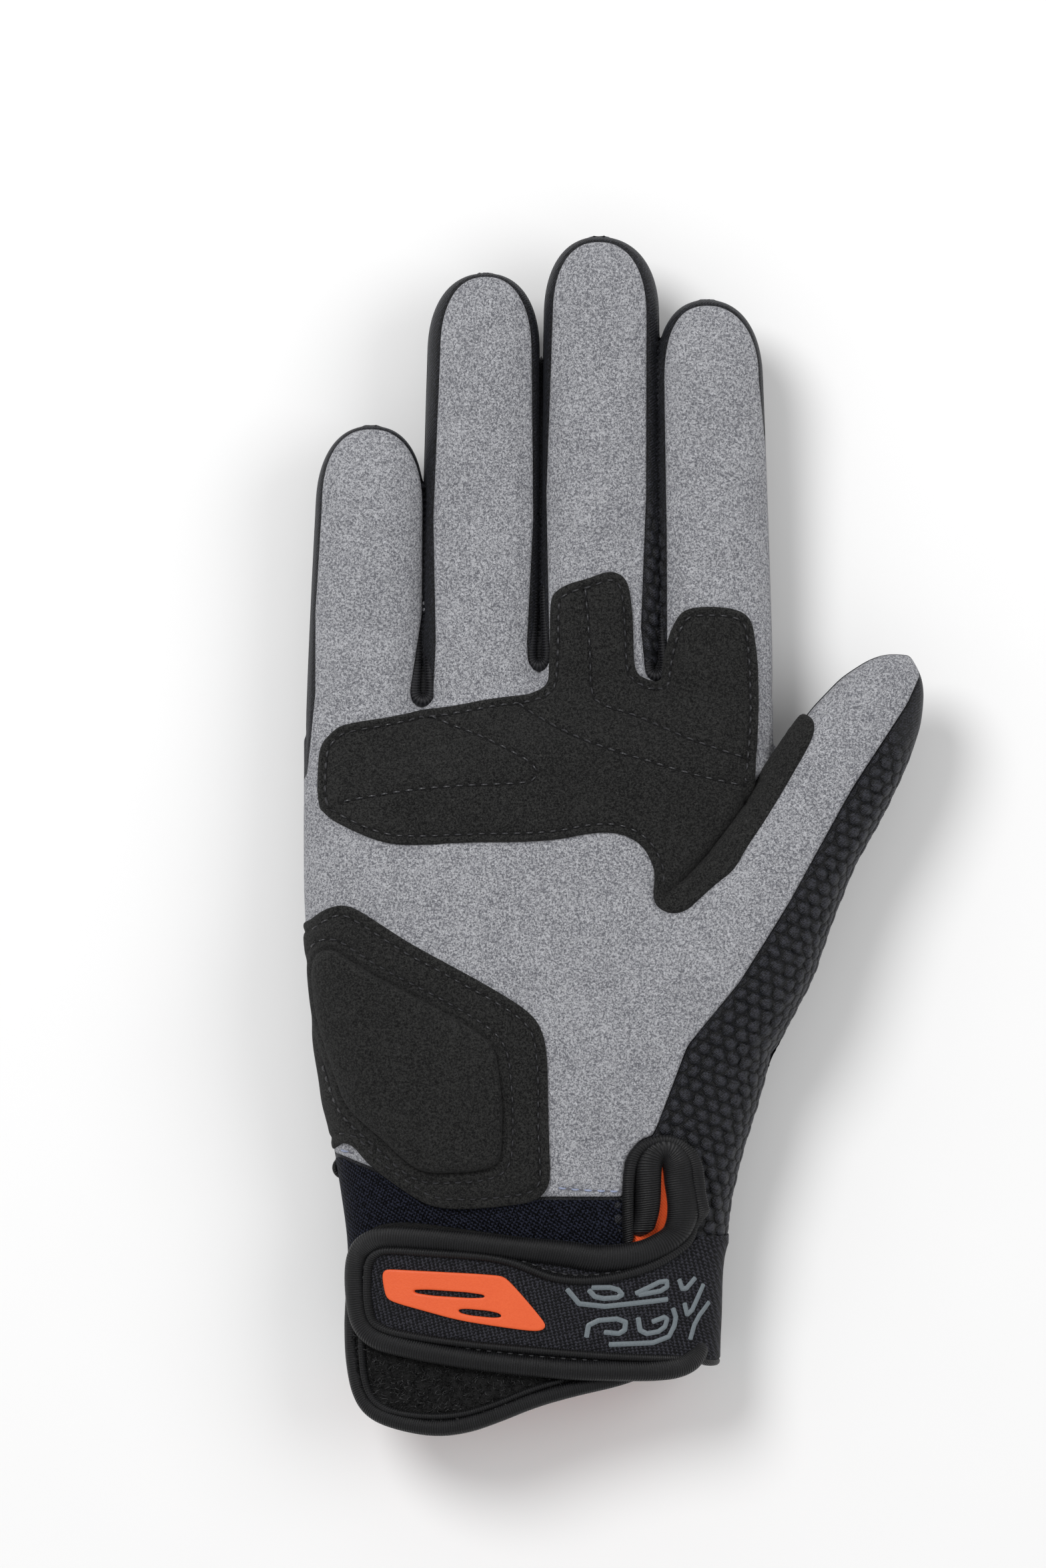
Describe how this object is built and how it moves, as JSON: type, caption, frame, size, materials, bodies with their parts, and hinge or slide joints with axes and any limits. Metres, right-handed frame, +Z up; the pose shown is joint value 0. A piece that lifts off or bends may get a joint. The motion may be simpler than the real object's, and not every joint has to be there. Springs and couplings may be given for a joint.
{
  "type": "motorcycle glove",
  "caption": "Right-hand short-cuff motorcycle glove lying palm up, with suede palm, overlay patches, raised heel pad and a wrist strap.",
  "frame": {"origin": "on the flat back of the hand where the glove rests, under the middle of the palm", "axes": "+X towards the thumb, +Y towards the fingertips, +Z up out of the palm"},
  "size_m": [0.1311, 0.251, 0.0379],
  "materials": {
    "grey_suede": "grey synthetic suede with a short nap",
    "black_knit": "black stretch knit, bubbled mesh on the thumb side",
    "black_suede": "black synthetic suede",
    "navy_cloth": "fine ribbed near-black navy elastic cloth",
    "ribbed_binding": "folded ribbed black binding tape with a slight shine",
    "orange_lining": "orange lining cloth",
    "loop_pile": "fuzzy black loop pile",
    "orange_badge": "raised soft orange rubber",
    "satin_gusset": "satin-like folded black knit"
  },
  "bodies": {
    "root": {"palm_panel": "grey_suede", "back_panel": "black_knit", "palm_patch": "black_suede", "heel_patch": "black_suede", "heel_pad": "black_suede", "cuff": "navy_cloth", "slit_binding": "ribbed_binding", "slit_piping": "ribbed_binding", "slit_lining": "orange_lining", "loop_tab": "loop_pile", "loop_tab_binding": "ribbed_binding", "strap": "navy_cloth", "strap_binding": "ribbed_binding", "strap_badge": "orange_badge", "gusset_little_ring": "satin_gusset", "gusset_ring_middle": "satin_gusset", "gusset_middle_index": "satin_gusset", "side_loop": "ribbed_binding"}
  },
  "joints": []
}
